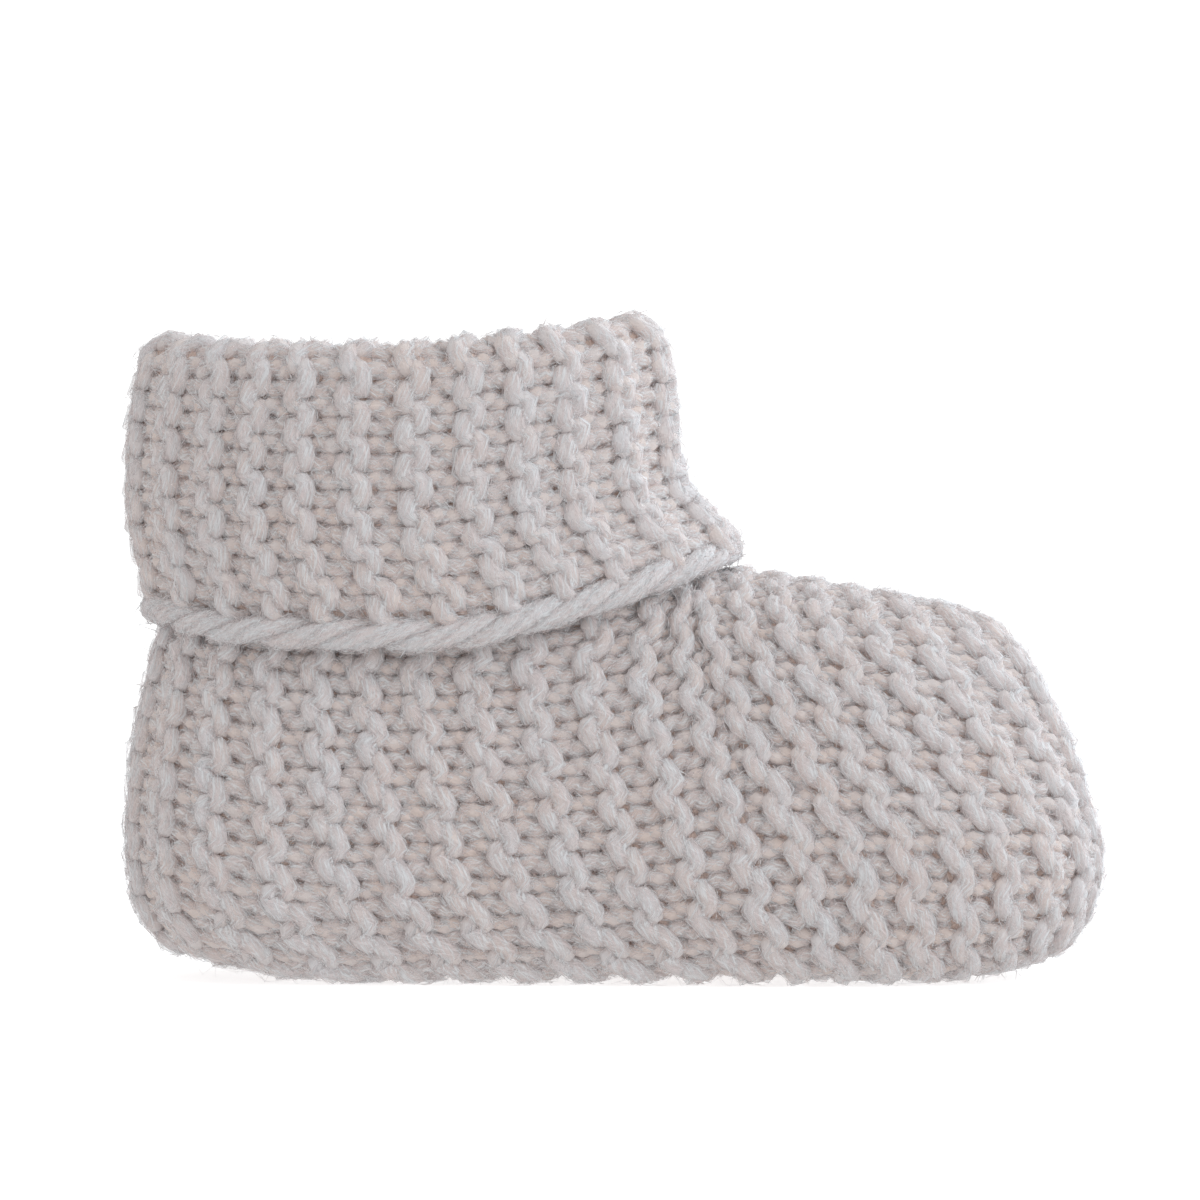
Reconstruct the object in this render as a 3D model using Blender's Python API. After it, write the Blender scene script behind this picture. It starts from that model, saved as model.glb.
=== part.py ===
"""Knitted baby bootie with a turned-down cuff: hollow upper, sole panel and the rolled edge of the cuff.

Axes: +X to the toe, +Z up, Y across. The sole rests on z = 0, and the bootie is the same on both sides of
y = 0. Shapes are written in millimetres and turned into metres when a mesh is made.

The upper is one knitted fabric, so it is drawn as the middle surface of that fabric and then given the
fabric's thickness. Garter ridges run down the leg and the sides of the foot. A course is one such line: it
starts at the rolled edge of the cuff, goes up the cuff, over the fold, down the leg and the side of the
foot, round the bottom corner and a little way under, where the sole panel takes over. Courses are numbered
from 0 at the back of the heel to FOOT_COURSES at the front of the toe. The first LEG_COURSES of them have a
leg; the others start at the middle of the instep. One side is worked out, and the other is its mirror.
"""

from math import pi
from typing import NamedTuple

import bmesh
import bpy
import numpy as np

MM = 0.001

# Driving dimensions, in millimetres, over the outside of the fabric.
LENGTH = 100.0
BALL_WIDTH = 42.8
HEEL_WIDTH = 38.4
FABRIC = 3.6  # thickness of garter fabric in yarn of 1.9 mm
FOLD_GAP = 0.5  # air between the leg and the cuff turned down over it
SEAT_GAP = 0.3  # between pieces that touch

HALF_FABRIC = FABRIC / 2
HEEL_X = -LENGTH / 2 + HALF_FABRIC  # middle of the fabric at the back of the heel
TOE_X = LENGTH / 2 - HALF_FABRIC
FOLD_RADIUS = (FABRIC + FOLD_GAP) / 2

# Ridges on one side of the foot, and those of them that go on up the leg.
FOOT_COURSES = 20
LEG_COURSES = 12

# Plan of the foot at its widest level.
WIDEST_Z = 13.0
HEEL_CAP = 19.0  # length of the rounded heel
TOE_CAP = 25.0
HEEL_ROUNDNESS = 2.1  # exponents of the superellipses that close the plan
TOE_ROUNDNESS = 2.25
WAIST_DIP = 0.6
WAIST_X = -5.0
WAIST_SPREAD = 14.0
BALL_RISE = (-25.0, 20.0)  # the sides widen from heel to ball between these

# The bottom: corner radius in plan, the strip turned under, and how the heel and toe lift off the floor.
CORNER = 4.6
TURN_UNDER = 3.2
HEEL_LIFT = (-24.0, 2.8, 21.0)  # start, height and length of the rise
TOE_LIFT = (32.0, 1.9, 12.0)

# How far the courses lean towards the toe at the widest level and at the floor, as a share of the outline.
LEAN_WIDEST = 0.035
LEAN_FLOOR = 0.095
LEAN_FLOOR_BIAS = 1.3

# The instep, from the front of the ankle to the top of the toe, at the middle of the fabric.
ANKLE_FRONT = (7.5, 40.9)
TOE_TOP = (36.5, 35.9)
INSTEP_ARCH = 0.7

SIDE_FULLNESS = 0.7  # under 1 rounds the top of the foot's side out sooner
ARCH_FULLNESS = 0.88  # the same over the instep: an exponent of 1 is an ellipse
ARCH_START, ARCH_END = 8.5, 12.5  # courses between which straight sides turn into arches over the instep
TOE_BLUNTNESS = 0.58

# The rolled edge that finishes the cuff.
EDGE_RADIUS = 1.35
EDGE_SIDES = 8
EDGE_STEPS = 44

# Mesh density.
LEG_STEPS = 18
FOREFOOT_STEPS = 13
SIDE_STEPS = 9
CORNER_STEPS = 4
FOLD_STEPS = 5
SOLE_STEPS = 4
OUTLINE_STEPS = 1200


class Ring(NamedTuple):
    """A level ring of the leg or cuff: the middle of the fabric, in millimetres."""

    name: str
    heel_x: float
    front_x: float
    half_width: float
    heel_z: float
    side_z: float
    front_z: float


CUFF_RINGS = [
    Ring("cuff end", -46.5, 10.8, 19.6, 39.6, 37.2, 45.2),
    Ring("cuff hem", -47.0, 9.0, 19.6, 42.0, 39.8, 46.6),
    Ring("cuff low", -48.0, 6.3, 19.6, 46.0, 44.6, 49.2),
    Ring("cuff middle", -48.2, 4.9, 19.5, 51.5, 51.0, 53.0),
    Ring("cuff high", -47.8, 4.4, 19.3, 57.5, 57.0, 58.8),
    Ring("fold outside", -47.1, 3.8, 19.0, 62.1, 61.4, 64.2),
]
LEG_RINGS = [
    Ring("leg high", -43.5, 0.0, 15.2, 57.5, 57.0, 58.8),
    Ring("leg middle", -43.9, 0.6, 15.3, 52.0, 51.5, 52.8),
    Ring("leg low", -43.5, 1.4, 15.2, 47.0, 46.5, 47.6),
    Ring("leg foot", -42.4, 3.2, 14.8, 43.4, 42.8, 44.0),
]
WAIST_RING = Ring("waist", -41.0, ANKLE_FRONT[0], 14.0, 40.4, 39.2, ANKLE_FRONT[1])
EDGE_RING = Ring("rolled edge", -46.9, 12.5, 19.9, 37.6, 35.2, 44.2)

FRONT_POINT = 1.15  # over 1 brings the front of a ring to a blunt point
HEEL_POWER, FRONT_POWER = 4.0, 1.4  # how suddenly a ring rises to its heel and to its front


def smooth_step(value):
    """The cubic 3v^2 - 2v^3 of a value held between 0 and 1."""
    held = np.clip(value, 0.0, 1.0)
    return held * held * (3.0 - 2.0 * held)


def ring_point(ring, angle):
    """Points of a ring at angles from 0, at the heel, to pi, at the front.

    x goes as the cosine and y as the sine, raised to a power in front; the height rises from the side's
    as a power of the cosine.
    """
    cosine, sine = np.cos(angle), np.clip(np.sin(angle), 0.0, 1.0)
    x = (ring.heel_x + ring.front_x) / 2 - (ring.front_x - ring.heel_x) / 2 * cosine
    y = ring.half_width * np.where(cosine < 0, sine**FRONT_POINT, sine)
    to_heel = np.clip(cosine, 0, 1) ** HEEL_POWER
    to_front = np.clip(-cosine, 0, 1) ** FRONT_POWER
    z = ring.side_z + (ring.heel_z - ring.side_z) * to_heel + (ring.front_z - ring.side_z) * to_front
    return np.stack([x, y, z], axis=-1)


def leg_angle(course):
    """The angle of a leg course, which shares the middle of the cuff out equally among the courses."""
    angle = np.linspace(0.0, pi, OUTLINE_STEPS)
    outline = ring_point(CUFF_RINGS[3], angle)[:, :2]
    travelled = np.concatenate([[0.0], np.cumsum(np.linalg.norm(np.diff(outline, axis=0), axis=1))])
    return np.interp(np.asarray(course) / LEG_COURSES, travelled / travelled[-1], angle)


def foot_outline(inset):
    """Plan of half the foot from heel to toe at its widest level, moved inwards by inset.

    The half width eases from heel to ball with a slight waist, and a superellipse closes each end.
    """
    x = -TOE_X * np.cos(np.linspace(0.0, pi, OUTLINE_STEPS))
    rise = smooth_step((x - BALL_RISE[0]) / (BALL_RISE[1] - BALL_RISE[0]))
    half_heel, half_ball = HEEL_WIDTH / 2 - HALF_FABRIC, BALL_WIDTH / 2 - HALF_FABRIC
    width = half_heel + (half_ball - half_heel) * rise
    width = width - WAIST_DIP * np.exp(-(((x - WAIST_X) / WAIST_SPREAD) ** 2))
    to_heel = np.clip((HEEL_X + HEEL_CAP - x) / HEEL_CAP, 0, 1)
    to_toe = np.clip((x - TOE_X + TOE_CAP) / TOE_CAP, 0, 1)
    y = width * (1 - to_heel**HEEL_ROUNDNESS) ** (1 / HEEL_ROUNDNESS)
    y = y * (1 - to_toe**TOE_ROUNDNESS) ** (1 / TOE_ROUNDNESS)
    outline = np.stack([x, y], axis=-1)
    along = np.gradient(outline, axis=0)
    along /= np.linalg.norm(along, axis=1, keepdims=True)
    moved = outline + inset * np.stack([along[:, 1], -along[:, 0]], axis=-1)
    moved = moved[moved[:, 1] >= 0]
    moved[[0, -1], 1] = 0.0
    return moved


def along_outline(outline, share):
    """Points at shares of the outline's length, and the x part of its outward normal there."""
    steps = np.diff(outline, axis=0)
    travelled = np.concatenate([[0.0], np.cumsum(np.linalg.norm(steps, axis=1))])
    share_here = travelled / travelled[-1]
    x = np.interp(share, share_here, outline[:, 0])
    y = np.interp(share, share_here, outline[:, 1])
    slope = np.gradient(outline, axis=0)
    normal_x = -slope[:, 1] / np.linalg.norm(slope, axis=1)
    return x, y, np.interp(share, share_here, normal_x)


def lift(x):
    """How far the bottom has risen off the floor at x: a square law towards the heel and the toe."""
    start, height, run = HEEL_LIFT
    heel = height * (np.clip(start - x, 0, None) / run) ** 2
    start, height, run = TOE_LIFT
    return heel + height * (np.clip(x - start, 0, None) / run) ** 2


def course_top(course):
    """Where a course meets the leg, on the waist ring, or the middle of the instep in front of it."""
    on_ring = ring_point(WAIST_RING, leg_angle(np.clip(course, 0, LEG_COURSES)))
    share = np.clip((course - LEG_COURSES) / (FOOT_COURSES - LEG_COURSES), 0, 1)
    x = ANKLE_FRONT[0] + (TOE_TOP[0] - ANKLE_FRONT[0]) * share
    z = ANKLE_FRONT[1] + (TOE_TOP[1] - ANKLE_FRONT[1]) * share + INSTEP_ARCH * 4 * share * (1 - share)
    on_instep = np.stack([x, np.zeros_like(x), z], axis=-1)
    return np.where((course >= LEG_COURSES)[:, None], on_instep, on_ring)


def floor_ring(course, inset):
    """Points of the bottom of the fabric, a given inset inside the widest level."""
    share = course / FOOT_COURSES
    share = share + LEAN_FLOOR * np.sin(pi * share**LEAN_FLOOR_BIAS)
    x, y, _ = along_outline(foot_outline(inset), share)
    return np.stack([x, y, HALF_FABRIC + lift(x)], axis=-1)


def foot_rings(course):
    """The foot's rings from just below the waist down to the strip turned under.

    A side course is straight from the waist to the widest level, seen from the side, and eases out across.
    Over the forefoot it turns into a quarter of an ellipse that crosses the instep level. The corner below
    the widest level is a quarter of an ellipse too.
    """
    top = course_top(course)
    share = course / FOOT_COURSES
    x, y, normal_x = along_outline(foot_outline(0.0), share + LEAN_WIDEST * np.sin(pi * share))
    widest = np.stack([x, y, np.full_like(x, WIDEST_Z)], axis=-1)
    arch = smooth_step((course - ARCH_START) / (ARCH_END - ARCH_START))
    end = normal_x**2 * np.where(x > 0, TOE_BLUNTNESS, 1.0)
    rings = []
    for step in range(1, SIDE_STEPS + 1):
        part = step / SIDE_STEPS
        out = np.sin(pi * part / 2) ** (SIDE_FULLNESS + (ARCH_FULLNESS - SIDE_FULLNESS) * arch)
        down = (1 - arch) * part + arch * (1 - max(np.cos(pi * part / 2), 0.0) ** ARCH_FULLNESS)
        forward = (1 - end) * down + end * out
        weights = np.stack([forward, out, down], axis=-1)
        rings.append(top + (widest - top) * weights)
    floor = floor_ring(course, CORNER)
    for step in range(1, CORNER_STEPS + 1):
        turn = pi / 2 * step / CORNER_STEPS
        weights = np.array([1 - np.cos(turn), 1 - np.cos(turn), np.sin(turn)])
        rings.append(widest + (floor - widest) * weights)
    rings.append(floor_ring(course, CORNER + TURN_UNDER))
    return rings


def fold_rings(angle):
    """Half a turn of fabric from the outside of the fold at the rim to its inside."""
    outside = ring_point(CUFF_RINGS[-1], angle)
    middle = ring_point(
        CUFF_RINGS[-1]._replace(
            heel_x=CUFF_RINGS[-1].heel_x + FOLD_RADIUS,
            front_x=CUFF_RINGS[-1].front_x - FOLD_RADIUS,
            half_width=CUFF_RINGS[-1].half_width - FOLD_RADIUS,
        ),
        angle,
    )
    spoke = outside - middle
    rings = []
    for step in range(1, FOLD_STEPS + 1):
        turn = pi * step / FOLD_STEPS
        rings.append(middle + spoke * np.cos(turn) + np.array([0, 0, FOLD_RADIUS]) * np.sin(turn))
    return rings


def new_material(name, colour, roughness):
    """A plain wool material for one piece."""
    material = bpy.data.materials.new(name)
    material.use_nodes = True
    shader = material.node_tree.nodes["Principled BSDF"]
    shader.inputs["Base Color"].default_value = (*colour, 1.0)
    shader.inputs["Roughness"].default_value = roughness
    shader.inputs["Metallic"].default_value = 0.0
    return material


def course_stations():
    """The courses that the meshes follow: LEG_STEPS intervals over the leg, FOREFOOT_STEPS in front."""
    leg = np.linspace(0.0, LEG_COURSES, LEG_STEPS + 1)
    forefoot = np.linspace(LEG_COURSES, FOOT_COURSES, FOREFOOT_STEPS + 1)
    return leg, np.concatenate([leg, forefoot[1:]])


class SheetBuilder:
    """Collects quads between rows of points on both sides of y = 0, sharing the points on y = 0."""

    def __init__(self):
        self.mesh = bmesh.new()

    def row(self, points):
        """Adds one row of points and its mirror; a point on y = 0 is made once."""
        near = [self.mesh.verts.new(point * MM) for point in points]
        mirrored = points * np.array([1, -1, 1])
        on_middle = np.abs(points[:, 1]) < 1e-6
        far = [
            vert if middle else self.mesh.verts.new(point * MM)
            for vert, middle, point in zip(near, on_middle, mirrored, strict=True)
        ]
        return near, far

    def strip(self, upper, lower):
        """Quads between two rows, facing outwards when the rows go down the outside."""
        for side, outward in enumerate((True, False)):
            first, second = upper[side], lower[side]
            for here in range(min(len(first), len(second)) - 1):
                loop = [first[here], second[here], second[here + 1], first[here + 1]]
                corners = list(dict.fromkeys(loop))
                if len(corners) > 2:
                    self.mesh.faces.new(corners if outward else corners[::-1])

    def finish(self, name, material):
        """Turns the sheet into an object with the fabric's thickness about it."""
        data = bpy.data.meshes.new(name)
        self.mesh.to_mesh(data)
        self.mesh.free()
        data.shade_smooth()
        data.materials.append(material)
        piece = bpy.data.objects.new(name, data)
        bpy.context.scene.collection.objects.link(piece)
        wall = piece.modifiers.new("fabric", "SOLIDIFY")
        wall.thickness = FABRIC * MM
        wall.offset = 0.0
        wall.use_even_offset = False
        wall.use_quality_normals = True
        return piece


def build_upper():
    """The foot, the leg and the cuff turned down over it: one fabric, open at the collar and below."""
    leg_course, course = course_stations()
    angle = leg_angle(leg_course)
    sheet = SheetBuilder()
    rings = [ring_point(ring, angle) for ring in CUFF_RINGS]
    rings += fold_rings(angle)
    rings += [ring_point(ring, angle) for ring in LEG_RINGS]
    for ring in rings:
        ring[[0, -1], 1] = 0.0
    foot = [course_top(course), *foot_rings(course)]
    for ring in foot:
        ring[[0, -1], 1] = 0.0
    foot[0][LEG_STEPS:, 1] = 0.0
    rows = [sheet.row(ring) for ring in rings + foot]
    for index in range(len(rows) - 1):
        sheet.strip(rows[index], rows[index + 1])
    return sheet.finish("upper", new_material("upper_wool", (0.60, 0.56, 0.54), 0.9))


def build_sole():
    """A flat knitted panel of the foot's own outline, set inside the strip that the upper turns under."""
    _, course = course_stations()
    edge = floor_ring(course, CORNER + TURN_UNDER + SEAT_GAP)
    edge[[0, -1], 1] = 0.0
    sheet = SheetBuilder()
    rows = []
    for step in range(SOLE_STEPS, -1, -1):
        points = edge.copy()
        points[:, 1] *= step / SOLE_STEPS
        rows.append(sheet.row(points))
    for index in range(len(rows) - 1):
        sheet.strip(rows[index], rows[index + 1])
    bmesh.ops.remove_doubles(sheet.mesh, verts=sheet.mesh.verts, dist=1e-7)
    return sheet.finish("sole", new_material("sole_wool", (0.58, 0.54, 0.52), 0.92))


def build_cuff_edge():
    """The rolled edge: a round bead carried along the lower edge of the cuff."""
    angle = np.linspace(0.0, 2 * pi, EDGE_STEPS, endpoint=False)
    folded = np.where(angle > pi, 2 * pi - angle, angle)
    path = ring_point(EDGE_RING, folded)
    path[:, 1] *= np.where(angle > pi, -1.0, 1.0)
    tangent = np.roll(path, -1, axis=0) - np.roll(path, 1, axis=0)
    tangent /= np.linalg.norm(tangent, axis=1, keepdims=True)
    side = np.cross(tangent, [0.0, 0.0, 1.0])
    side /= np.linalg.norm(side, axis=1, keepdims=True)
    up = np.cross(side, tangent)
    mesh = bmesh.new()
    loops = []
    for centre, across, above in zip(path, side, up, strict=True):
        loop = []
        for corner in range(EDGE_SIDES):
            turn = 2 * pi * (corner + 0.5) / EDGE_SIDES
            point = centre + EDGE_RADIUS * (across * np.cos(turn) + above * np.sin(turn))
            loop.append(mesh.verts.new(point * MM))
        loops.append(loop)
    for here, loop in enumerate(loops):
        following = loops[(here + 1) % EDGE_STEPS]
        for corner in range(EDGE_SIDES):
            after = (corner + 1) % EDGE_SIDES
            mesh.faces.new([loop[corner], loop[after], following[after], following[corner]])
    bmesh.ops.recalc_face_normals(mesh, faces=mesh.faces)
    data = bpy.data.meshes.new("cuff_edge")
    mesh.to_mesh(data)
    mesh.free()
    data.shade_smooth()
    data.materials.append(new_material("edge_wool", (0.63, 0.59, 0.57), 0.9))
    piece = bpy.data.objects.new("cuff_edge", data)
    bpy.context.scene.collection.objects.link(piece)
    return piece


def main():
    """Clears the scene and builds the pieces."""
    for item in list(bpy.data.objects):
        bpy.data.objects.remove(item, do_unlink=True)
    build_upper()
    build_sole()
    build_cuff_edge()


main()
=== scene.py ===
"""Knitted baby bootie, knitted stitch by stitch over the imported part.

Axes: +X to the toe, +Z up, Y across; the sole rests on z = 0 and both sides of y = 0 are alike. Sizes are in
millimetres and turned into metres when a mesh is made.

A place on the fabric has two numbers. The course counts garter ridges from 0 at the back of the heel to 20 at
the front of the toe; the first 12 go on up the leg. The wale counts stitches along a course, from the end of
the turned-down cuff, up over the fold, down the leg and the side of the foot, to the strip under the sole.
"""

import logging
from collections.abc import Callable
from dataclasses import dataclass
from enum import Enum
from functools import partial
from math import pi, radians
from typing import ClassVar, NamedTuple

import bpy
import numpy as np
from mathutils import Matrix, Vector


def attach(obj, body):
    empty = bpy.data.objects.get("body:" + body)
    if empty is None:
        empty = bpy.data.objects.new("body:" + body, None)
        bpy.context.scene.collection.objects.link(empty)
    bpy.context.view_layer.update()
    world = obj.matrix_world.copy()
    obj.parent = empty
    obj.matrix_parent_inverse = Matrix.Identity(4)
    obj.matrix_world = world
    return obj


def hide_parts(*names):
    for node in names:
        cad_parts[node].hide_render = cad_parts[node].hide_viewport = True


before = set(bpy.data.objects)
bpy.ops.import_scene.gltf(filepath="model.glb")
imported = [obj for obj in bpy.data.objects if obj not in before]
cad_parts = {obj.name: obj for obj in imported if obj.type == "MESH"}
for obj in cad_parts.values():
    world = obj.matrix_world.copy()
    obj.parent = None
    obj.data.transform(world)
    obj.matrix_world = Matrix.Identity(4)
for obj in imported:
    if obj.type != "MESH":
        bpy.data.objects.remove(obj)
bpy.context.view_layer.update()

LOG = logging.getLogger("bootie")
Array = np.ndarray
Colour = tuple[float, float, float]
WaleLaw = Callable[[Array], Array]

MM = 0.001
NO_CAPS = np.zeros((0, 4), dtype=int)
SEED = 20
LONGEST_START = 1000.0


def smooth_step(value: Array) -> Array:
    """The cubic 3v^2 - 2v^3 of a value held between 0 and 1."""
    held = np.clip(value, 0.0, 1.0)
    return held * held * (3.0 - 2.0 * held)


def ramp(value: Array, start: float, end: float) -> Array:
    """The smooth step that goes from 0 at start to 1 at end."""
    return smooth_step((value - start) / (end - start))


def waves(share: Array, sizes: tuple[float, ...]) -> Array:
    """A sum of sines of 1, 2, 3... half turns between shares 0 and 1, with the given sizes."""
    return sum(size * np.sin((number + 1) * pi * share) for number, size in enumerate(sizes))


def unit(vectors: Array) -> Array:
    """Vectors scaled to length 1 along the last axis."""
    return vectors / np.maximum(np.linalg.norm(vectors, axis=-1, keepdims=True), 1e-9)


def mirrored(points: Array) -> Array:
    """Points on the other side of y = 0."""
    return points * np.array([1.0, -1.0, 1.0])


def travelled(points: Array, axis: int = 0) -> Array:
    """The length along lines of points, as the running sum of their steps.

    Args:
        points: the points.
        axis: the axis that runs along the lines.

    Returns:
        The length at each point, 0 at the first.
    """
    steps = np.linalg.norm(np.diff(points, axis=axis), axis=-1)
    return np.cumsum(np.insert(steps, 0, 0.0, axis=axis), axis=axis)


def wander(rng: np.random.Generator, rows: int, knots: int, samples: int, size: float) -> Array:
    """Random values that change smoothly along each row: cosine blends between random knots.

    Args:
        rng: source of the knots.
        rows: how many rows.
        knots: how many knots a row has, apart from its last.
        samples: how many values a row has.
        size: standard deviation of the knots.

    Returns:
        Values, row by row.
    """
    values = rng.standard_normal((rows, knots + 1)) * size
    place = np.linspace(0, knots, samples, endpoint=False)
    low = place.astype(int)
    blend = (1 - np.cos(pi * (place - low))) / 2
    return values[:, low] * (1 - blend) + values[:, low + 1] * blend


class Ring(NamedTuple):
    """A level ring of the leg or cuff: the middle of the fabric, in millimetres."""

    heel_x: float
    front_x: float
    half_width: float
    heel_z: float
    side_z: float
    front_z: float


@dataclass(frozen=True)
class Last:
    """The shape that the fabric takes: its middle surface, in millimetres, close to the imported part's.

    A cap is the length over which the heel or the toe rounds off, and its roundness the power of its
    superellipse. waist_dip is a depth, a place and a spread, ball_rise is where the widening starts and ends,
    and a lift is where it starts, its height and its run. Leans towards the toe are shares of the outline.
    Fullness is the power of a section's curve, and bluntness how far the toe's section bulges.
    """

    length: float = 100.0
    ball_width: float = 42.8
    heel_width: float = 38.4
    fabric: float = 3.6
    fold_gap: float = 0.5
    foot_courses: int = 20
    leg_courses: int = 12
    widest_z: float = 13.0
    heel_cap: float = 19.0
    toe_cap: float = 25.0
    heel_roundness: float = 2.1
    toe_roundness: float = 2.25
    waist_dip: tuple[float, float, float] = (0.6, -5.0, 14.0)
    ball_rise: tuple[float, float] = (-25.0, 20.0)
    corner: float = 4.6
    turn_under: float = 3.2
    heel_lift: tuple[float, float, float] = (-24.0, 2.8, 21.0)
    toe_lift: tuple[float, float, float] = (32.0, 1.9, 12.0)
    lean_widest: float = 0.035
    lean_floor: float = 0.095
    lean_floor_bias: float = 1.3
    ankle_front: tuple[float, float] = (7.5, 40.9)
    toe_top: tuple[float, float] = (36.3, 35.8)
    instep_arch: float = 0.7
    side_fullness: float = 0.7
    arch_fullness: float = 0.88
    arch_courses: tuple[float, float] = (8.5, 12.5)
    toe_bluntness: float = 0.565
    front_point: float = 1.15
    heel_power: float = 4.0
    front_power: float = 1.4
    outline_steps: int = 1200
    side_steps: int = 27
    corner_steps: int = 10
    fold_steps: int = 10
    cuff_rings: tuple[Ring, ...] = (
        Ring(-46.5, 12.3, 19.6, 39.2, 36.8, 43.9),
        Ring(-47.0, 10.3, 19.6, 41.8, 39.6, 46.1),
        Ring(-48.0, 7.0, 19.6, 46.0, 44.6, 49.2),
        Ring(-48.2, 5.9, 19.5, 51.5, 51.0, 53.0),
        Ring(-47.8, 5.4, 19.3, 57.5, 57.0, 58.8),
        Ring(-47.1, 4.5, 19.0, 62.1, 61.4, 64.2),
    )
    leg_rings: tuple[Ring, ...] = (
        Ring(-43.5, 0.0, 15.2, 57.5, 57.0, 58.8),
        Ring(-43.9, 0.6, 15.3, 52.0, 51.5, 52.8),
        Ring(-43.5, 1.4, 15.2, 47.0, 46.5, 47.6),
        Ring(-42.4, 3.2, 14.8, 43.4, 42.8, 44.0),
    )
    middle_ring: int = 3
    waist_ring: Ring = Ring(-42.2, 7.5, 14.0, 40.4, 39.2, 40.9)
    edge_ring: Ring = Ring(-46.9, 12.5, 19.9, 37.6, 35.2, 44.2)

    def ring_point(self, ring: Ring, angle: Array) -> Array:
        """Points of a ring: x goes as the cosine, y as the sine, raised to a power in front, and the height
        rises from the side's as a power of the cosine.

        Args:
            ring: the ring.
            angle: from 0, at the heel, to pi, at the front.

        Returns:
            Points, in millimetres.
        """
        cosine, sine = np.cos(angle), np.clip(np.sin(angle), 0.0, 1.0)
        x = (ring.heel_x + ring.front_x) / 2 - (ring.front_x - ring.heel_x) / 2 * cosine
        y = ring.half_width * np.where(cosine < 0, sine**self.front_point, sine)
        to_heel = np.clip(cosine, 0, 1) ** self.heel_power
        to_front = np.clip(-cosine, 0, 1) ** self.front_power
        z = ring.side_z + (ring.heel_z - ring.side_z) * to_heel + (ring.front_z - ring.side_z) * to_front
        return np.stack([x, y, z], axis=-1)

    def leg_angle(self, course: Array) -> Array:
        """The angle on a ring at which a leg course lies, so that courses share out the cuff equally.

        Args:
            course: courses, from 0 at the heel.

        Returns:
            Angles, from 0 at the heel to pi at the front.
        """
        angle = np.linspace(0.0, pi, self.outline_steps)
        length = travelled(self.ring_point(self.cuff_rings[self.middle_ring], angle)[:, :2])
        return np.interp(course / self.leg_courses, length / length[-1], angle)

    def foot_outline(self, inset: float) -> Array:
        """Plan of half the foot at its widest level.

        The half width eases from heel to ball with a slight waist, and a superellipse closes each end.

        Args:
            inset: how far the outline is moved inwards.

        Returns:
            Points x, y from heel to toe.
        """
        half_fabric = self.fabric / 2
        heel_x, toe_x = -self.length / 2 + half_fabric, self.length / 2 - half_fabric
        x = -toe_x * np.cos(np.linspace(0.0, pi, self.outline_steps))
        rise = ramp(x, *self.ball_rise)
        half_heel, half_ball = self.heel_width / 2 - half_fabric, self.ball_width / 2 - half_fabric
        dip, dip_x, spread = self.waist_dip
        width = half_heel + (half_ball - half_heel) * rise - dip * np.exp(-(((x - dip_x) / spread) ** 2))
        to_heel = np.clip((heel_x + self.heel_cap - x) / self.heel_cap, 0, 1)
        to_toe = np.clip((x - toe_x + self.toe_cap) / self.toe_cap, 0, 1)
        y = width * (1 - to_heel**self.heel_roundness) ** (1 / self.heel_roundness)
        y = y * (1 - to_toe**self.toe_roundness) ** (1 / self.toe_roundness)
        outline = np.stack([x, y], axis=-1)
        along = unit(np.gradient(outline, axis=0))
        moved = outline + inset * np.stack([along[:, 1], -along[:, 0]], axis=-1)
        moved = moved[moved[:, 1] >= 0]
        moved[[0, -1], 1] = 0.0
        return moved

    @staticmethod
    def along_outline(outline: Array, share: Array) -> tuple[Array, Array, Array]:
        """Points at shares of the outline's length.

        Args:
            outline: points x, y.
            share: shares of the length, from 0 to 1.

        Returns:
            x, y and the x part of the outward normal.
        """
        length = travelled(outline)
        share_here = length / length[-1]
        x = np.interp(share, share_here, outline[:, 0])
        y = np.interp(share, share_here, outline[:, 1])
        slope = np.gradient(outline, axis=0)
        normal_x = -slope[:, 1] / np.linalg.norm(slope, axis=1)
        return x, y, np.interp(share, share_here, normal_x)

    def lift(self, x: Array) -> Array:
        """How far the bottom has risen off the floor: a square law towards the heel and the toe.

        Args:
            x: places along the foot.

        Returns:
            Heights.
        """
        start, height, run = self.heel_lift
        heel = height * (np.clip(start - x, 0, None) / run) ** 2
        start, height, run = self.toe_lift
        return heel + height * (np.clip(x - start, 0, None) / run) ** 2

    def course_top(self, course: Array) -> Array:
        """Where a course meets the leg, on the waist ring, or the middle of the instep in front of it.

        Args:
            course: courses.

        Returns:
            Points.
        """
        on_ring = self.ring_point(self.waist_ring, self.leg_angle(np.clip(course, 0, self.leg_courses)))
        share = np.clip((course - self.leg_courses) / (self.foot_courses - self.leg_courses), 0, 1)
        (start_x, start_z), (end_x, end_z) = self.ankle_front, self.toe_top
        x = start_x + (end_x - start_x) * share
        z = start_z + (end_z - start_z) * share + self.instep_arch * 4 * share * (1 - share)
        on_instep = np.stack([x, np.zeros_like(x), z], axis=-1)
        return np.where((course >= self.leg_courses)[:, None], on_instep, on_ring)

    def floor_ring(self, course: Array, inset: float) -> Array:
        """Points of the bottom of the fabric, where courses lean towards the toe.

        Args:
            course: courses.
            inset: how far inside the widest level they lie.

        Returns:
            Points.
        """
        share = course / self.foot_courses
        share = share + self.lean_floor * np.sin(pi * share**self.lean_floor_bias)
        x, y, _ = self.along_outline(self.foot_outline(inset), share)
        return np.stack([x, y, self.fabric / 2 + self.lift(x)], axis=-1)

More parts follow.
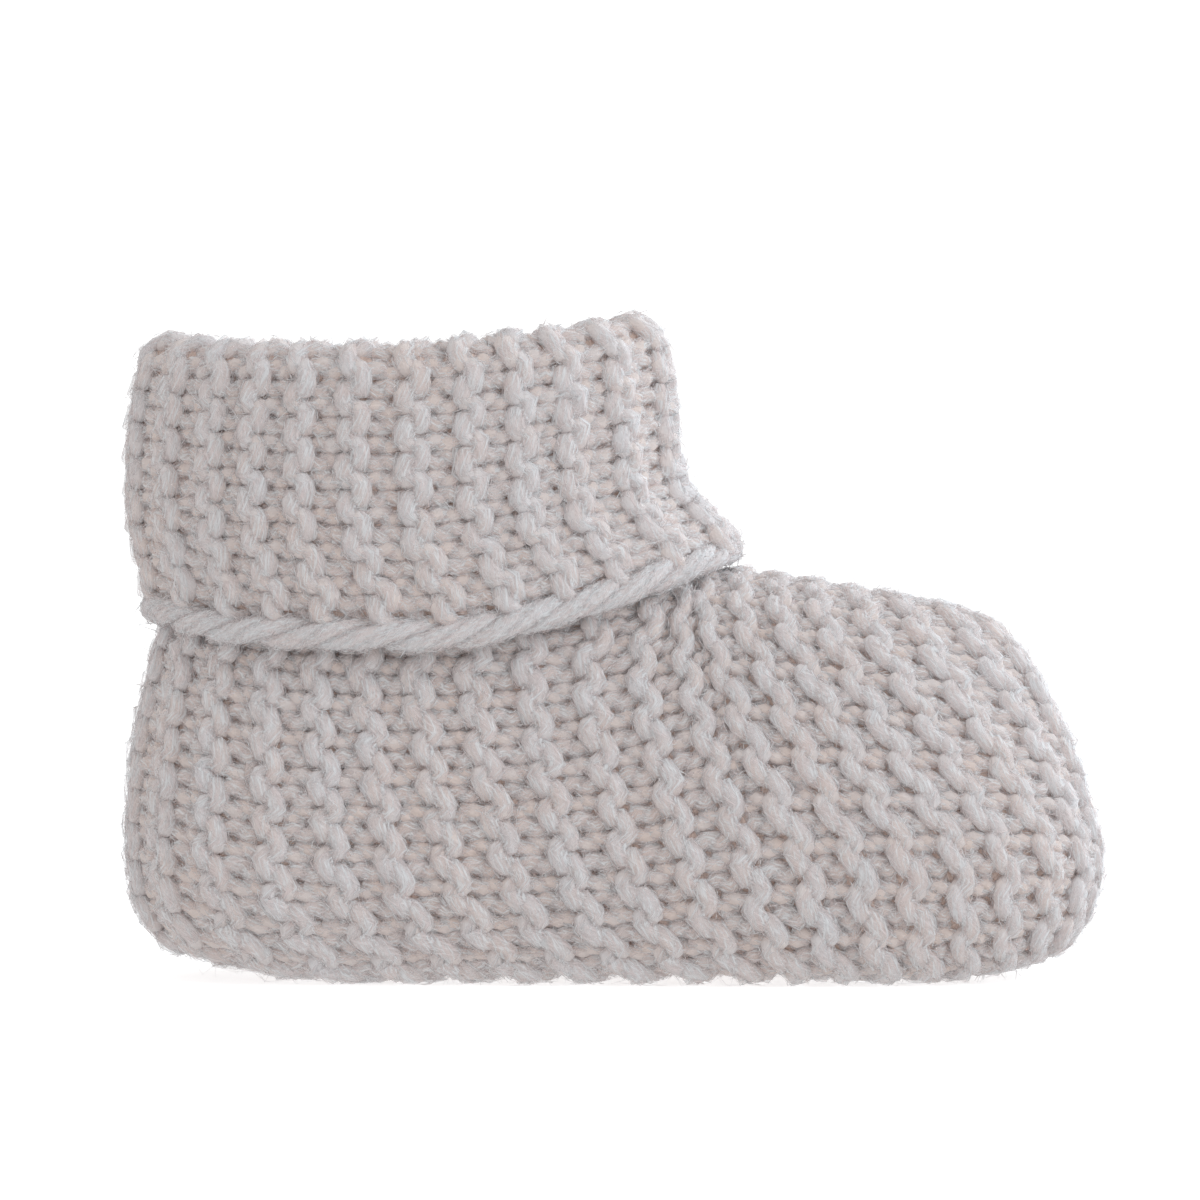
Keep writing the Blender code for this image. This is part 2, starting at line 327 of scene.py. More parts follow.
    def foot_rings(self, course: Array) -> Array:
        """The foot's rings from the waist down to the strip turned under.

        A side course is straight from the waist to the widest level, seen from the side, and eases out
        across. Over the forefoot it turns into a quarter of an ellipse that crosses the instep level. The
        corner below the widest level is a quarter of an ellipse too.

        Args:
            course: courses.

        Returns:
            Points, ring by ring.
        """
        top = self.course_top(course)
        share = course / self.foot_courses
        leaning = share + self.lean_widest * np.sin(pi * share)
        x, y, normal_x = self.along_outline(self.foot_outline(0.0), leaning)
        widest = np.stack([x, y, np.full_like(x, self.widest_z)], axis=-1)
        arch = ramp(course, *self.arch_courses)
        fullness = self.side_fullness + (self.arch_fullness - self.side_fullness) * arch
        end = normal_x**2 * np.where(x > 0, self.toe_bluntness, 1.0)
        rings = [top]
        for step in range(1, self.side_steps + 1):
            part = step / self.side_steps
            out = np.sin(pi * part / 2) ** fullness
            down = (1 - arch) * part + arch * (1 - max(np.cos(pi * part / 2), 0.0) ** self.arch_fullness)
            forward = (1 - end) * down + end * out
            rings.append(top + (widest - top) * np.stack([forward, out, down], axis=-1))
        floor = self.floor_ring(course, self.corner)
        for step in range(1, self.corner_steps + 1):
            turn = pi / 2 * step / self.corner_steps
            weights = np.array([1 - np.cos(turn), 1 - np.cos(turn), np.sin(turn)])
            rings.append(widest + (floor - widest) * weights)
        rings.append(self.floor_ring(course, self.corner + self.turn_under))
        return np.stack(rings)

    def fold_rings(self, angle: Array) -> list[Array]:
        """Half a turn of fabric from the outside of the fold at the rim to its inside.

        Args:
            angle: angles on the rings.

        Returns:
            Points of each ring.
        """
        radius = (self.fabric + self.fold_gap) / 2
        rim = self.cuff_rings[-1]
        outside = self.ring_point(rim, angle)
        inner = rim._replace(
            heel_x=rim.heel_x + radius, front_x=rim.front_x - radius, half_width=rim.half_width - radius
        )
        middle = self.ring_point(inner, angle)
        spoke = outside - middle
        rise = np.array([0, 0, radius])
        turns = pi * np.arange(1, self.fold_steps + 1) / self.fold_steps
        return [middle + spoke * np.cos(turn) + rise * np.sin(turn) for turn in turns]

    def leg_strip(self, course: Array) -> Array:
        """The rings from the end of the cuff over the fold and down the leg to the waist.

        Args:
            course: courses.

        Returns:
            Points, ring by ring.
        """
        angle = self.leg_angle(course)
        rings = [self.ring_point(ring, angle) for ring in self.cuff_rings]
        rings += self.fold_rings(angle)
        rings += [self.ring_point(ring, angle) for ring in (*self.leg_rings, self.waist_ring)]
        return np.stack(rings)


def resample(rings: Array, marks: dict[int, float], wanted: Array) -> Array:
    """Points between rings, by the cubic through each course's points with its length as the station.

    Args:
        rings: points, ring by ring and then course by course.
        marks: wale numbers of some rings; between those, wales share out the length equally.
        wanted: wale numbers.

    Returns:
        Points, wale by wale and then course by course.
    """
    length = travelled(rings)
    knots = np.empty_like(length)
    places = sorted(marks)
    for first, last in zip(places, places[1:], strict=False):
        part = (length[first : last + 1] - length[first]) / (length[last] - length[first])
        knots[first : last + 1] = marks[first] + (marks[last] - marks[first]) * part
    slope = np.empty_like(rings)
    slope[1:-1] = (rings[2:] - rings[:-2]) / (knots[2:] - knots[:-2])[..., None]
    slope[0] = (rings[1] - rings[0]) / (knots[1] - knots[0])[..., None]
    slope[-1] = (rings[-1] - rings[-2]) / (knots[-1] - knots[-2])[..., None]
    below = (knots[None] <= wanted[:, None, None]).sum(axis=1) - 1
    below = np.clip(below, 0, len(rings) - 2)

    def pick(values: Array, index: Array) -> Array:
        """Values of each course at its own ring number."""
        return np.take_along_axis(values, index.reshape(index.shape + (1,) * (values.ndim - 2)), axis=0)

    start, stop = pick(knots, below), pick(knots, below + 1)
    width = (stop - start)[..., None]
    t = ((wanted[:, None] - start) / (stop - start))[..., None]
    inside = np.clip(t, 0, 1)
    point = (
        (2 * inside**3 - 3 * inside**2 + 1) * pick(rings, below)
        + (inside**3 - 2 * inside**2 + inside) * width * pick(slope, below)
        + (3 * inside**2 - 2 * inside**3) * pick(rings, below + 1)
        + (inside**3 - inside**2) * width * pick(slope, below + 1)
    )
    return point + (t - inside) * width * np.where(t > 1, pick(slope, below + 1), pick(slope, below))


@dataclass
class Patch:
    """A stretch of fabric as a regular grid of points over courses and wales, read off by interpolation."""

    points: Array
    first_course: float
    first_wale: float
    per_unit: int
    normal_passes: int = 3

    def __post_init__(self) -> None:
        """Works out the outward normals, smoothed along the wales, and how wide a course is at each point."""
        across = np.gradient(self.points, axis=1) * self.per_unit
        along = np.gradient(self.points, axis=0) * self.per_unit
        normal = unit(np.cross(across, along))
        for _ in range(self.normal_passes):
            normal[1:-1] = unit(normal[:-2] + 2 * normal[1:-1] + normal[2:])
        self.normals = normal
        self.course_size = np.linalg.norm(across, axis=-1)

    def read(self, grid: Array, course: Array, wale: Array) -> Array:
        """Reads a grid off by bilinear interpolation.

        Args:
            grid: values, wale by wale and then course by course.
            course: courses.
            wale: wales.

        Returns:
            The values there.
        """
        row = np.clip((wale - self.first_wale) * self.per_unit, 0, grid.shape[0] - 1.001)
        column = np.clip((course - self.first_course) * self.per_unit, 0, grid.shape[1] - 1.001)
        low_row, low_column = row.astype(int), column.astype(int)
        shape = row.shape + (1,) * (grid.ndim - 2)
        down, over = (row - low_row).reshape(shape), (column - low_column).reshape(shape)
        upper = grid[low_row, low_column] * (1 - over) + grid[low_row, low_column + 1] * over
        lower = grid[low_row + 1, low_column] * (1 - over) + grid[low_row + 1, low_column + 1] * over
        return upper * (1 - down) + lower * down

    def place(self, course: Array, wale: Array, height: Array) -> Array:
        """Points at a height above the middle of the fabric."""
        middle, normal = self.read(self.points, course, wale), self.read(self.normals, course, wale)
        return middle + height[..., None] * normal


@dataclass
class Fabric:
    """The upper's fabric, as one patch for the leg with the foot below it and one for the forefoot.

    cuff_wales to foot_wales are counts of stitches, and per_unit is how many grid points a course or a wale
    has. Draws and leans are the sizes of the sines that shift courses, in courses. Each pair whose name ends
    in from is where a shift starts and where it is full.
    """

    last: Last
    cuff_wales: int = 7
    fold_wales: int = 2
    leg_wales: int = 6
    foot_wales: int = 12
    per_unit: int = 8
    margin: int = 1
    cuff_draw: tuple[float, ...] = (-0.25, 0.36, 0.0, 0.15)
    foot_draw: tuple[float, ...] = (-0.13, 0.18, 0.0, 0.11)
    foot_lean: tuple[float, ...] = (0.57, 0.17)
    lean_wales: tuple[float, float] = (2.5, 10.0)
    lean_middle: float = 7.0
    lean_reach: float = 4.0
    front_from: tuple[float, float] = (8.0, 11.0)
    foot_from: tuple[float, float] = (-5.0, 0.0)
    instep_from: tuple[float, float] = (0.0, 3.5)
    cuff_from: tuple[float, float] = (-2.0, -8.0)
    soft_passes: int = 4

    def __post_init__(self) -> None:
        """Lays out both patches on the side of positive y."""
        last, step = self.last, self.per_unit
        self.first_wale = -(self.cuff_wales + self.fold_wales + self.leg_wales)
        leg_course = np.arange(last.leg_courses * step + 1) / step
        foot_course = np.arange(last.foot_courses * step + 1) / step
        fold_start = len(last.cuff_rings) - 1
        fold_end = fold_start + last.fold_steps + 1
        marks = {
            0: self.first_wale,
            fold_start: self.first_wale + self.cuff_wales,
            fold_end: -self.leg_wales,
            fold_start + last.fold_steps + len(last.leg_rings) + 1: 0,
        }
        above = np.arange((self.first_wale - self.margin) * step, 0) / step
        below = np.arange((self.foot_wales + self.margin) * step + 1) / step
        leg = resample(last.leg_strip(leg_course), marks, above)
        foot_strip = last.foot_rings(foot_course)
        foot = resample(foot_strip, {0: 0, len(foot_strip) - 1: self.foot_wales}, below)
        leg, foot = self.widened(leg), self.widened(foot)
        side = np.concatenate([leg, foot[:, : leg.shape[1]]])
        front = foot[:, last.leg_courses * step :]
        hoops = np.concatenate([mirrored(front[:0:-1]), front])
        self.side = Patch(self.softened(side), -self.margin, self.first_wale - self.margin, step)
        self.hoops = Patch(
            self.softened(hoops), last.leg_courses - self.margin, -(self.foot_wales + self.margin), step
        )

    def widened(self, points: Array) -> Array:
        """Adds a margin of courses beyond both seams, mirrored from the other side of y = 0.

        Args:
            points: points, wale by wale and then course by course.

        Returns:
            The same points with the margins.
        """
        extra = self.margin * self.per_unit
        before, after = points[:, extra:0:-1], points[:, -2 : -2 - extra : -1]
        return np.concatenate([mirrored(before), points, mirrored(after)], axis=1)

    def drawn(self, course: Array, wale: Array) -> Array:
        """Where a course lies once wear has drawn the ridges towards or away from each other.

        The shift is a sum of sines that vanish at the seams. On the cuff it is the same at every wale, and on
        the foot it leans with the wale. It fades out where the cuff hides the leg.

        Args:
            course: courses as knitted.
            wale: wales, counted from the waist or from the middle of the instep.

        Returns:
            Courses on the patch.
        """
        share = course / self.last.foot_courses
        down = (np.clip(wale, *self.lean_wales) - self.lean_middle) / self.lean_reach
        on_foot = waves(share, self.foot_draw) + down * waves(share, self.foot_lean)
        in_front = ramp(course, *self.front_from)
        reach = (1 - in_front) * ramp(wale, *self.foot_from) + in_front * ramp(wale, *self.instep_from)
        on_cuff = waves(course / self.last.leg_courses, self.cuff_draw) * ramp(wale, *self.cuff_from)
        return course + on_foot * reach + on_cuff

    def drawn_over(self, course: Array, wale: Array) -> Array:
        """The same over the forefoot, where wales count both ways from the middle of the instep."""
        return self.drawn(course, np.abs(wale))

    def softened(self, points: Array) -> Array:
        """Averages points a little along each course, which rounds the turn at the waist.

        Args:
            points: points, wale by wale.

        Returns:
            The rounded points.
        """
        soft = points.copy()
        for _ in range(self.soft_passes):
            soft[1:-1] = (soft[:-2] + 2 * soft[1:-1] + soft[2:]) / 4
        return soft


class Side(Enum):
    """A side of the bootie, as the sign of y there."""

    LEFT = 1.0
    RIGHT = -1.0

    @property
    def phase(self) -> float:
        """Where a stitch is centred, as a share of a wale: the sides are half a wale apart."""
        return 0.5 - self.value / 4


@dataclass
class Skein:
    """Yarns of equal sample counts, ready to be made into tubes.

    ups points out of the fabric. depth says for each sample how far it lies inside the fabric, from 0 to 1,
    starts how much yarn lies before the first sample, front which way along ups the fabric is seen from, and
    shows how much of the yarn is seen.
    """

    paths: Array
    ups: Array
    radii: Array
    depth: Array
    starts: Array
    front: Array
    shows: Array

    def thinned(self, step: int) -> "Skein":
        """The same yarns with every step-th sample only."""
        kept = [part[:, ::step] for part in (self.paths, self.ups, self.radii, self.depth)]
        return Skein(*kept, self.starts, self.front[:, ::step], self.shows[:, ::step])

    def frames(self) -> tuple[Array, Array, Array]:
        """Works out a frame at each sample.

        Returns:
            The directions along, across and above the yarn.
        """
        tangent = unit(np.gradient(self.paths, axis=1))
        across = unit(np.cross(tangent, self.ups))
        return tangent, across, np.cross(across, tangent)


def grid_faces(grid: Array) -> Array:
    """The quads between the rows and columns of a grid of vertex numbers."""
    return np.stack([grid[:-1, :-1], grid[1:, :-1], grid[1:, 1:], grid[:-1, 1:]], axis=-1).reshape(-1, 4)


def add_mesh(name: str, vertices: Array, faces: Array, caps: Array) -> bpy.types.Object:
    """Makes an object from quads and end polygons.

    Args:
        name: the object's name.
        vertices: points in millimetres.
        faces: rows of four vertex numbers.
        caps: rows of vertex numbers, one polygon each.

    Returns:
        The object, linked to the scene.
    """
    mesh = bpy.data.meshes.new(name)
    mesh.vertices.add(len(vertices))
    mesh.vertices.foreach_set("co", (vertices * MM).astype(np.float32).ravel())
    loops = np.concatenate([faces.ravel(), caps.ravel()]).astype(np.int32)
    sizes = np.concatenate([np.full(len(faces), faces.shape[1]), np.full(len(caps), caps.shape[1])])
    starts = np.concatenate([[0], np.cumsum(sizes)[:-1]]).astype(np.int32)
    mesh.loops.add(len(loops))
    mesh.loops.foreach_set("vertex_index", loops)
    mesh.polygons.add(len(sizes))
    mesh.polygons.foreach_set("loop_start", starts)
    mesh.polygons.foreach_set("use_smooth", np.ones(len(sizes), dtype=bool))
    mesh.update(calc_edges=True)
    mesh.validate()
    piece = bpy.data.objects.new(name, mesh)
    bpy.context.scene.collection.objects.link(piece)
    return piece


def add_sheet(name: str, front: Array, back: Array) -> bpy.types.Object:
    """Makes a closed thin sheet from two grids of points, joined round the rim.

    Args:
        name: the object's name.
        front: points, row by row, in millimetres.
        back: the same for the other face.

    Returns:
        The object.
    """
    rows, columns, _ = front.shape
    near = np.arange(rows * columns).reshape(rows, columns)
    far = near + rows * columns
    rim = np.concatenate([near[0, :-1], near[:-1, -1], near[-1, :0:-1], near[:0:-1, 0]])
    rim_far = rim + rows * columns
    edge = np.stack([rim, np.roll(rim, -1), np.roll(rim_far, -1), rim_far], axis=-1)
    faces = np.concatenate([grid_faces(near), grid_faces(far)[:, ::-1], edge])
    return add_mesh(name, np.concatenate([front.reshape(-1, 3), back.reshape(-1, 3)]), faces, NO_CAPS)


@dataclass(frozen=True)
class YarnTube:
    """Round yarn laid along paths: a ring of corners at each sample, slightly wider than high."""

    sides: int = 6
    width: float = 1.08
    height: float = 0.95
    fluff: float = 0.05
    lowest: float = 0.0

    def build(self, name: str, skein: Skein, rng: np.random.Generator) -> bpy.types.Object:
        """Makes one object of all the yarns of a skein, each a tube of rings with its two ends closed.

        Args:
            name: the object's name.
            skein: the yarns, in millimetres.
            rng: source of the small bumps.

        Returns:
            The object, with the map "yarn" (length, turn) and the attribute "depth".
        """
        rows, samples, _ = skein.paths.shape
        _, across, above = skein.frames()
        turn = 2 * pi * np.arange(self.sides) / self.sides
        swell = 1 + self.fluff * rng.standard_normal((rows, samples, self.sides))
        reach = skein.radii[..., None] * swell
        points = (
            skein.paths[:, :, None]
            + (self.width * reach * np.cos(turn))[..., None] * across[:, :, None]
            + (self.height * reach * np.sin(turn))[..., None] * above[:, :, None]
        )
        points[..., 2] = np.maximum(points[..., 2], self.lowest)
        index = np.arange(rows * samples * self.sides).reshape(rows, samples, self.sides)
        after = np.roll(index, -1, axis=2)
        faces = np.stack([index[:, :-1], index[:, 1:], after[:, 1:], after[:, :-1]], axis=-1).reshape(-1, 4)
        caps = np.concatenate([index[:, 0], index[:, -1, ::-1]])
        piece = add_mesh(name, points.reshape(-1, 3), faces, caps)
        self.map_yarn(piece, skein)
        # depth is the mask of the wool's painted shade: 1 deep inside the fabric, 0 on the ridges
        values = np.repeat(skein.depth.ravel(), self.sides).astype(np.float32)
        piece.data.attributes.new("depth", "FLOAT", "POINT").data.foreach_set("value", values)
        return piece

    def map_yarn(self, piece: bpy.types.Object, skein: Skein) -> None:
        """Writes the map "yarn": u is the length along the yarn in millimetres, v the turn about it.

        Args:
            piece: the object, its faces in the order of build.
            skein: its yarns.
        """
        length = travelled(skein.paths, axis=1) + skein.starts[:, None]
        turn = np.arange(self.sides + 1) / self.sides
        uv = np.stack(np.broadcast_arrays(length[:, :, None], turn), axis=-1)
        near, far = uv[:, :-1], uv[:, 1:]
        quads = np.stack([near[:, :, :-1], far[:, :, :-1], far[:, :, 1:], near[:, :, 1:]], axis=3)
        ends = np.concatenate([uv[:, 0, :-1], uv[:, -1, -2::-1]])
        flat = np.concatenate([quads.reshape(-1, 2), ends.reshape(-1, 2)])
        piece.data.uv_layers.new(name="yarn").data.foreach_set("uv", flat.astype(np.float32).ravel())


FLEECE_TUBE = YarnTube(sides=5, width=1.52, height=1.36)


@dataclass(frozen=True)
class Stitch:
    """One garter stitch, as harmonics of the turn t along a course.

    Along the course the yarn goes as t plus a sine of 2t, which widens the loops; across it as the cosine of
    t, so that heads reach into the next course and feet into the one before; and through the fabric as the
    cosine of 3t, so that heads pass over the next row's legs. Alternate rows change sides.

    bow, reach and depth are the sizes of these. skew leans the loops, and hold keeps heads and feet up for
    longer. ridge is how far a ridge stands up, yarn is the yarn's radius, and plump is how much the yarn
    swells at heads and feet.
    """

    reach: float = 0.395
    bow: float = 0.21
    skew: float = 0.025
    hold: float = 0.36
    depth: float = 0.50
    ridge: float = 0.38
    yarn: float = 0.79
    plump: float = 0.17
    samples: int = 18


@dataclass
class KnitRows:
    """Rows of garter stitches over a patch of fabric.

    Three laws go by the wale: facing is 1 where the patch's normal is the fabric's front and -1 where it is
    the back, seen is how much of the fabric can be seen, and pressed is how far its ridges are pressed flat.
    drawn takes a course and a wale, and says to which course wear has drawn the yarn. Strays are the random
    part of each measure of a stitch. Yarn is thinner where courses crowd, next to a standard course.
    """

    patch: Patch
    stitch: Stitch
    rng: np.random.Generator
    side: Side = Side.LEFT
    facing: WaleLaw = np.ones_like
    seen: WaleLaw = np.ones_like
    pressed: WaleLaw = np.zeros_like
    drawn: Callable[[Array, Array], Array] = lambda course, wale: course
    reach_stray: float = 0.045
    wale_stray: float = 0.03
    course_stray: float = 0.0105
    height_stray: float = 0.12
    yarn_stray: float = 0.05
    pressed_depth: float = 0.3
    standard_course: float = 5.75
    crowding: tuple[float, float] = (0.6, 1.1)
    crowding_power: float = 0.35
    end_size: float = 0.45
    end_samples: int = 4
    deepest: float = 1.1
    least_seen: float = 0.03

    def lay(self, rows: Array, ends: tuple[Array, Array]) -> Skein:
        """Lays rows of yarn along courses: the stitch's harmonics, each with its stray.

        Args:
            rows: row numbers, two to a course.
            ends: wales where each row starts and ends.

        Returns:
            The skein.
        """
        stitch, (first, last) = self.stitch, ends
        wales = int(np.ceil(np.max(last - first)))
        samples = wales * stitch.samples + 1
        stray = partial(wander, self.rng, len(rows), 2 * wales, samples)
        share = np.linspace(0.0, 1.0, samples)
        along = first[:, None] * (1 - share) + last[:, None] * share
        turn = 2 * pi * (along - self.side.phase)
        front = np.where(rows % 2 == 0, 1.0, -1.0)[:, None]
        reach = stitch.reach * (1 + stray(self.reach_stray))
        wale = along + stitch.bow * np.sin(2 * turn) + stray(self.wale_stray)
        facing = self.facing(wale)
        skew = -self.side.value * facing * stitch.skew
        course = (rows[:, None] + 0.5) / 2 + reach * np.cos(turn) + skew * np.sin(2 * turn)
        course = course + stray(self.course_stray)
        pace = turn - stitch.hold * np.sin(2 * turn)
        flat = self.pressed(wale)
        depth = front * stitch.depth * (1 - self.pressed_depth * flat) * np.cos(3 * pace)
        height = facing * (depth - stitch.ridge * (1 - flat) * np.cos(2 * pi * course))
        height = height + stray(self.height_stray)
        course = self.drawn(course, wale)
        paths = self.patch.place(course, wale, height)
        normals = self.patch.read(self.patch.normals, course, wale)
        crowding = self.patch.read(self.patch.course_size, course, wale) / self.standard_course
        radii = stitch.yarn * np.clip(crowding, *self.crowding) ** self.crowding_power
        radii = radii * (1 + stitch.plump * np.cos(2 * turn)) * (1 + stray(self.yarn_stray))
        to_end = np.minimum(np.arange(samples), np.arange(samples)[::-1]) / self.end_samples
        radii = radii * (self.end_size + (1 - self.end_size) * smooth_step(to_end))
        if self.side is Side.RIGHT:
            paths, normals = mirrored(paths), mirrored(normals)
        starts = self.rng.uniform(0, LONGEST_START, len(rows))
        # How far the yarn lies inside the fabric: the mask of the wool's painted shade
        inside = np.clip(1 - np.abs(height) / self.deepest, 0, 1)
        shows = np.clip(0.5 + facing * height, self.least_seen, 1) * self.seen(wale)
        return Skein(paths, normals, radii, inside, starts, np.sign(facing), shows)


class Shade:
    """A number in a shader: its operators add Math nodes."""

    def __init__(self, tree: "ShaderTree", socket: bpy.types.NodeSocket) -> None:
        """Wraps a socket of a tree."""
        self.tree, self.socket = tree, socket

    def __add__(self, other: "float | Shade") -> "Shade":
        """Sum."""
        return self.tree.math("ADD", self, other)

    def __mul__(self, other: "float | Shade") -> "Shade":
        """Product."""
        return self.tree.math("MULTIPLY", self, other)

    __radd__ = __add__
    __rmul__ = __mul__


class Grain(NamedTuple):
    """A noise: cells for each unit of its place, finer layers, and how strong those are."""

    scale: float
    detail: float
    roughness: float = 0.5


class ShaderTree:
    """The nodes of one material, with a Principled shader."""

    def __init__(self, name: str) -> None:
        """Starts the material.

        Args:
            name: the material's name.
        """
        self.material = bpy.data.materials.new(name)
        self.material.use_nodes = True
        self.tree = self.material.node_tree

    def add(self, kind: str, settings: dict[str, object], inputs: dict[str | int, object]) -> bpy.types.Node:
        """Adds a node.

        Args:
            kind: the node's type, without ShaderNode.
            settings: attributes, set first.
            inputs: values or sockets by input name or number.

        Returns:
            The node.
        """
        node = self.tree.nodes.new("ShaderNode" + kind)
        for key, value in settings.items():
            setattr(node, key, value)
        for key, value in inputs.items():
            self.feed(node.inputs[key], value)
        return node

    def feed(self, target: bpy.types.NodeSocket, value: object) -> None:
        """Links a socket to an input, or sets the input's value.

        Args:
            target: the input.
            value: a number, a colour, a socket or a Shade.
        """
        source = value.socket if isinstance(value, Shade) else value
        if isinstance(source, bpy.types.NodeSocket):
            self.tree.links.new(source, target)
        else:
            target.default_value = (*source, 1.0) if target.type == "RGBA" else source

    def dress(self, inputs: dict[str, object]) -> bpy.types.Material:
        """Feeds the Principled shader's inputs.

        Args:
            inputs: values or sockets by input name.

        Returns:
            The material.
        """
        for key, value in inputs.items():
            self.feed(self.tree.nodes["Principled BSDF"].inputs[key], value)
        return self.material

    def math(self, operation: str, *values: "float | Shade") -> Shade:
        """A Math node of values."""
        node = self.add("Math", {"operation": operation}, dict(enumerate(values)))
        return Shade(self, node.outputs[0])

    def mix(
        self, factor: "float | Shade", first: object, second: object, blend: str = "MIX"
    ) -> bpy.types.NodeSocket:
        """A colour between two colours, or their product with the blend MULTIPLY."""
        settings = {"data_type": "RGBA", "blend_type": blend}
        return self.add("Mix", settings, {0: factor, 6: first, 7: second}).outputs[2]

    def noise(self, vector: bpy.types.NodeSocket, grain: Grain) -> Shade:
        """A noise from 0 to 1.

        Args:
            vector: the place at which it is read.
            grain: its cells and layers.

        Returns:
            The noise.
        """
        scale, detail, roughness = grain
        inputs = {"Vector": vector, "Scale": scale, "Detail": detail, "Roughness": roughness}
        return Shade(self, self.add("TexNoise", {"noise_dimensions": "3D"}, inputs).outputs["Fac"])

    def ramp(self, value: Shade, low: float, high: float) -> Shade:
        """The smooth step of a value's place between low and high."""
        settings = {"clamp": True, "interpolation_type": "SMOOTHSTEP"}
        return Shade(self, self.add("MapRange", settings, {0: value, 1: low, 2: high}).outputs[0])

    def bump(self, height: Shade, strength: float, distance: float) -> bpy.types.NodeSocket:
        """A normal that follows a height."""
        inputs = {"Strength": strength, "Distance": distance, "Height": height}
        return self.add("Bump", {}, inputs).outputs[0]

    def place(self) -> bpy.types.NodeSocket:
        """Where the point is on its piece."""
        return self.add("TexCoord", {}, {}).outputs["Object"]

    def attribute(self, name: str) -> Shade:
        """A number that the mesh carries."""
        return Shade(self, self.add("Attribute", {"attribute_name": name}, {}).outputs["Fac"])

    def yarn(self) -> tuple[Shade, Shade]:
        """Reads the map "yarn".

        Returns:
            The length along the yarn in millimetres and the turn about it.
        """
        uv = self.add("UVMap", {"uv_map": "yarn"}, {}).outputs[0]
        parts = self.add("SeparateXYZ", {}, {0: uv})
        return Shade(self, parts.outputs[0]), Shade(self, parts.outputs[1])

    def round_yarn(
        self, yarn: tuple[Shade, Shade], twist: float, stretch: float, shift: float = 0.0
    ) -> bpy.types.NodeSocket:
        """A place for a noise that has no seam: a circle about the yarn, and the length along it.

        Args:
            yarn: the length and the turn.
            twist: turns that the noise makes about the yarn in a millimetre.
            stretch: how far the noise moves on in a millimetre.
            shift: where it starts.

        Returns:
            The place.
        """
        length, turn = yarn
        angle = (turn + length * twist) * (2 * pi)
        circle = {0: self.math("COSINE", angle), 1: self.math("SINE", angle)}
        return self.add("CombineXYZ", {}, {**circle, 2: length * stretch + shift}).outputs[0]


@dataclass(frozen=True)
class Wool:
    """Soft low-twist wool: fine fibres along the yarn, mottled between a cool and a warm shade.

    Its painted shade, a darker and warmer colour, lies where the yarn is inside the fabric: it stands in for
    the shade between the strands. Shares say how much of a sum is the first noise.
    """

    name: str
    cool: Colour = (0.905, 0.895, 0.925)
    warm: Colour = (0.93, 0.835, 0.81)
    # painted_shade is painted shade: the darker, warmer colour of the gaps, mixed in up to deepest where the
    # yarn lies inside the fabric
    painted_shade: Colour = (0.90, 0.655, 0.535)
    deepest: float = 0.55
    streak: Colour = (0.90, 0.885, 0.88)
    plain: Colour = (1.0, 1.0, 1.0)
    roughness: float = 0.92
    sheen: float = 0.4
    sheen_roughness: float = 0.6
    specular: float = 0.2
    twist: float = 0.06
    fibre_stretch: float = 0.16
    fibre: Grain = Grain(2.4, 4.0, 0.65)
    strand: Grain = Grain(1.2, 1.0)
    crossing_twist: float = -0.18
    crossing_stretch: float = 0.4
    crossing: Grain = Grain(3.6, 3.0, 0.6)
    fibre_share: float = 0.6
    fibre_ramp: tuple[float, float] = (0.36, 0.64)
    drift_stretch: float = 0.88
    drift: Grain = Grain(0.25, 2.0, 0.6)
    patch: Grain = Grain(90.0, 2.0)
    drift_share: float = 0.65
    warm_ramp: tuple[float, float] = (0.40, 0.64)
    bump_strength: float = 0.5
    bump_height: float = 0.4

    def build(self) -> bpy.types.Material:
        """Makes the material.

        Returns:
            The material.
        """
        tree = ShaderTree(self.name)
        yarn = tree.yarn()
        along = tree.round_yarn(yarn, self.twist, self.fibre_stretch)
        crossing = tree.round_yarn(yarn, self.crossing_twist, self.crossing_stretch)
        fine = tree.noise(along, self.fibre) * self.fibre_share
        loose = tree.noise(crossing, self.crossing) * (1 - self.fibre_share)
        fibres = tree.ramp(fine + loose, *self.fibre_ramp)
        strands = tree.noise(along, self.strand)
        drift = tree.round_yarn(yarn, self.twist, self.drift_stretch)
        heather = tree.noise(drift, self.drift) * self.drift_share
        patches = tree.noise(tree.place(), self.patch) * (1 - self.drift_share)
        colour = tree.mix(tree.ramp(heather + patches, *self.warm_ramp), self.cool, self.warm)
        # Painted shade: the colour darkens and warms where the yarn lies inside the fabric, by the attribute
        # depth
        colour = tree.mix(tree.attribute("depth") * self.deepest, colour, self.painted_shade)
        streaks = tree.mix(fibres, self.streak, self.plain)
        height = fibres * 0.5 + strands * 0.5
        return tree.dress({
            "Base Color": tree.mix(1.0, colour, streaks, "MULTIPLY"),
            "Roughness": self.roughness,
            "Sheen Weight": self.sheen,
            "Sheen Roughness": self.sheen_roughness,
            "Specular IOR Level": self.specular,
            "Normal": tree.bump(height, self.bump_strength, self.bump_height * MM),
        })


@dataclass(frozen=True)
class Fibre:
    """Single loose fibres of the same wool, each with a tone of its own."""

    name: str
    dark: Colour = (0.86, 0.77, 0.755)
    light: Colour = (0.925, 0.93, 0.94)
    roughness: float = 0.8
    specular: float = 0.2

    def build(self) -> bpy.types.Material:
        """Makes the material.

        Returns:
            The material.
        """
        tree = ShaderTree(self.name)
        return tree.dress({
            "Base Color": tree.mix(tree.attribute("tone"), self.dark, self.light),
            "Roughness": self.roughness,
            "Specular IOR Level": self.specular,
        })


